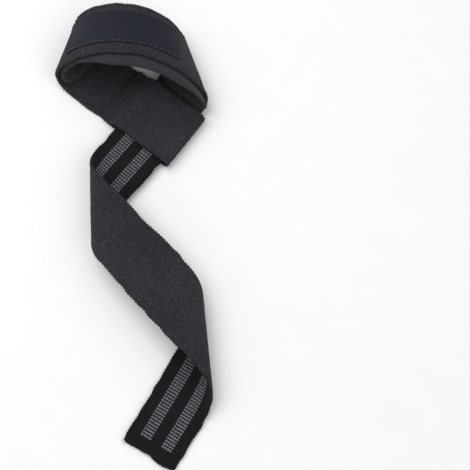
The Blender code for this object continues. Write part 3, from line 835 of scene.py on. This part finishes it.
def makeFaceFibres():
    drawn, side, far = faceFibre["count"], faceFibre["halfWidth"], faceFibre["reach"]
    draw = np.random.RandomState(faceFibre["seed"])
    along = draw.uniform(stripStart, stripEnd, drawn)
    across = draw.uniform(-side, side, drawn) * strap["width"]
    overPatch = np.abs(along - patch["middle"]) < patch["length"] / 2 + faceFibre["patchGap"]
    patched = overPatch & (np.abs(across) < patch["width"] / 2 + faceFibre["patchGap"])
    starts = np.stack([along, across, 0 * along + strap["thick"] / 2 - faceFibre["sunk"]], axis=1)[~patched]
    count = len(starts)
    reach = np.stack([draw.uniform(-far, far, count), draw.uniform(-far, far, count),
                      draw.uniform(*faceFibre["lift"], count)], axis=1)
    return makeFibres("face_fibres", starts, reach, fibreThread, fibre["radius"])


cutFibre = {"count": 110, "seed": 33, "in": 0.4, "out": 0.9, "along": (0.5, 1.4), "across": 0.8, "lift": 0.4,
            "frayedFrom": -0.42, "frayedLonger": 1.8, "frayedAside": 1.2, "thicker": 1.5}


def makeCutFibres():
    count, high = cutFibre["count"], cutFibre["out"]
    side, lift = cutFibre["across"], cutFibre["lift"]
    draw = np.random.RandomState(cutFibre["seed"])
    across = draw.uniform(-0.5, 0.5, count) * strap["width"]
    frayed = across < cutFibre["frayedFrom"] * strap["width"]  # most at one corner
    cutLine = stripEnd + raggedCut(across, 0) - cutFibre["in"]
    starts = np.stack([cutLine, across, draw.uniform(-high, high, count)], axis=1)
    longer = np.where(frayed, cutFibre["frayedLonger"], 1.0)
    reach = np.stack([draw.uniform(*cutFibre["along"], count) * longer,
                      draw.uniform(-side, side, count) - cutFibre["frayedAside"] * frayed,
                      draw.uniform(-lift, lift, count)], axis=1)
    return makeFibres("cut_end_fibres", starts, reach, fibreThread, cutFibre["thicker"] * fibre["radius"])


redFibre = {"start": (-141.5, 13.4, strap["thick"] / 2), "reach": (1.7, 0.8, 0.4), "radius": 0.22}

edgeFibres, faceFibres, cutFibres = makeEdgeFibres(), makeFaceFibres(), makeCutFibres()
strayThread = makeFibres("stray_red_thread", [redFibre["start"]], [redFibre["reach"]], redThread,
                         redFibre["radius"])
print("fibres made")

for piece, node, slotName in ((webbingPiece, "webbing_strap", "webbing"), (padPiece, "wrist_pad", "pad"),
                              (patchPiece, "label_patch", "patch"), (gripLeft, "grip_strip_left", "grip"),
                              (gripRight, "grip_strip_right", "grip")):
    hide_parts(node)

# Camera, at the photograph's angle. It stands where it saw the strap from and is turned aside, so that the
# strap lies in the left half of the picture.
view = {
    "size": 470, "elevation": 76.0, "distance": 650.0, "pixelsPerMm": 1.684, "look": (0.0, -97.0, 0.0),
    "lookSeenAt": (127.05, 227.9), "sensor": 36.0, "offAxis": 1.5, "clip": (0.02, 20.0),
}


def makeCamera():
    centre = view["size"] / 2
    focal = view["pixelsPerMm"] * view["distance"]
    yaw = math.atan((centre - view["lookSeenAt"][0]) / focal)
    pitch = math.atan((centre - view["lookSeenAt"][1]) / focal)
    focal *= math.cos(yaw)**view["offAxis"]  # what lies off the axis is drawn larger
    data = bpy.data.cameras.new("camera")
    data.sensor_width, data.lens = view["sensor"], focal * view["sensor"] / view["size"]
    data.clip_start, data.clip_end = view["clip"]
    camera = bpy.data.objects.new("camera", data)
    rise = math.radians(view["elevation"])
    back = Vector((0, -math.cos(rise), math.sin(rise)))
    look = Vector(view["look"]) + Vector(centring)
    camera.location = (look + back * view["distance"]) * mm
    turn = back.to_track_quat("Z", "Y") @ Euler((-pitch, -yaw, 0)).to_quaternion()
    camera.rotation_mode = "QUATERNION"
    camera.rotation_quaternion = turn
    bpy.context.scene.collection.objects.link(camera)
    bpy.context.scene.camera = camera


studio = {"sky": 0.56, "floor": "#F2F2F2", "floorHalf": 3.0, "grainScale": 300.0, "grainDark": 0.97}
lamps = [
    # (name, place in metres, size in metres, watts)
    ("key", (-0.45, 0.35, 0.95), 0.9, 8.0),
    ("fill", (0.8, -0.6, 0.9), 1.2, 4.0),
]


def makeStudio():
    half = studio["floorHalf"]
    mesh = bpy.data.meshes.new("floor")
    corners = [(-half, -half, 0), (half, -half, 0), (half, half, 0), (-half, half, 0)]
    mesh.from_pydata(corners, [], [[0, 1, 2, 3]])
    finish, tree, shader = newMaterial("pale matt paper", roughness=0.9)
    grain = addNode(tree, "ShaderNodeTexNoise", {"Scale": studio["grainScale"], "Detail": 2.0})
    even = addNode(tree, "ShaderNodeMapRange", {0: grain.outputs["Fac"], 3: studio["grainDark"], 4: 1.0})
    tone = addNode(tree, "ShaderNodeVectorMath", {0: linear(studio["floor"]), "Scale": even.outputs[0]},
                   operation="SCALE")
    tree.links.new(tone.outputs[0], shader.inputs["Base Color"])
    mesh.materials.append(finish)
    floor = bpy.data.objects.new("floor", mesh)
    bpy.context.scene.collection.objects.link(floor)
    world = bpy.data.worlds.new("studio")
    world.use_nodes = True
    world.node_tree.nodes["Background"].inputs["Color"].default_value = (1, 1, 1, 1)
    world.node_tree.nodes["Background"].inputs["Strength"].default_value = studio["sky"]
    bpy.context.scene.world = world
    for name, place, size, watts in lamps:
        data = bpy.data.lights.new(name, "AREA")
        data.energy, data.size = watts, size
        lamp = bpy.data.objects.new(name, data)
        lamp.location = place
        lamp.rotation_mode = "QUATERNION"
        lamp.rotation_quaternion = Vector(place).to_track_quat("Z", "Y")
        bpy.context.scene.collection.objects.link(lamp)
    bpy.context.scene.view_settings.view_transform = "Standard"


makeCamera()
makeStudio()
print("camera, lights and floor made")
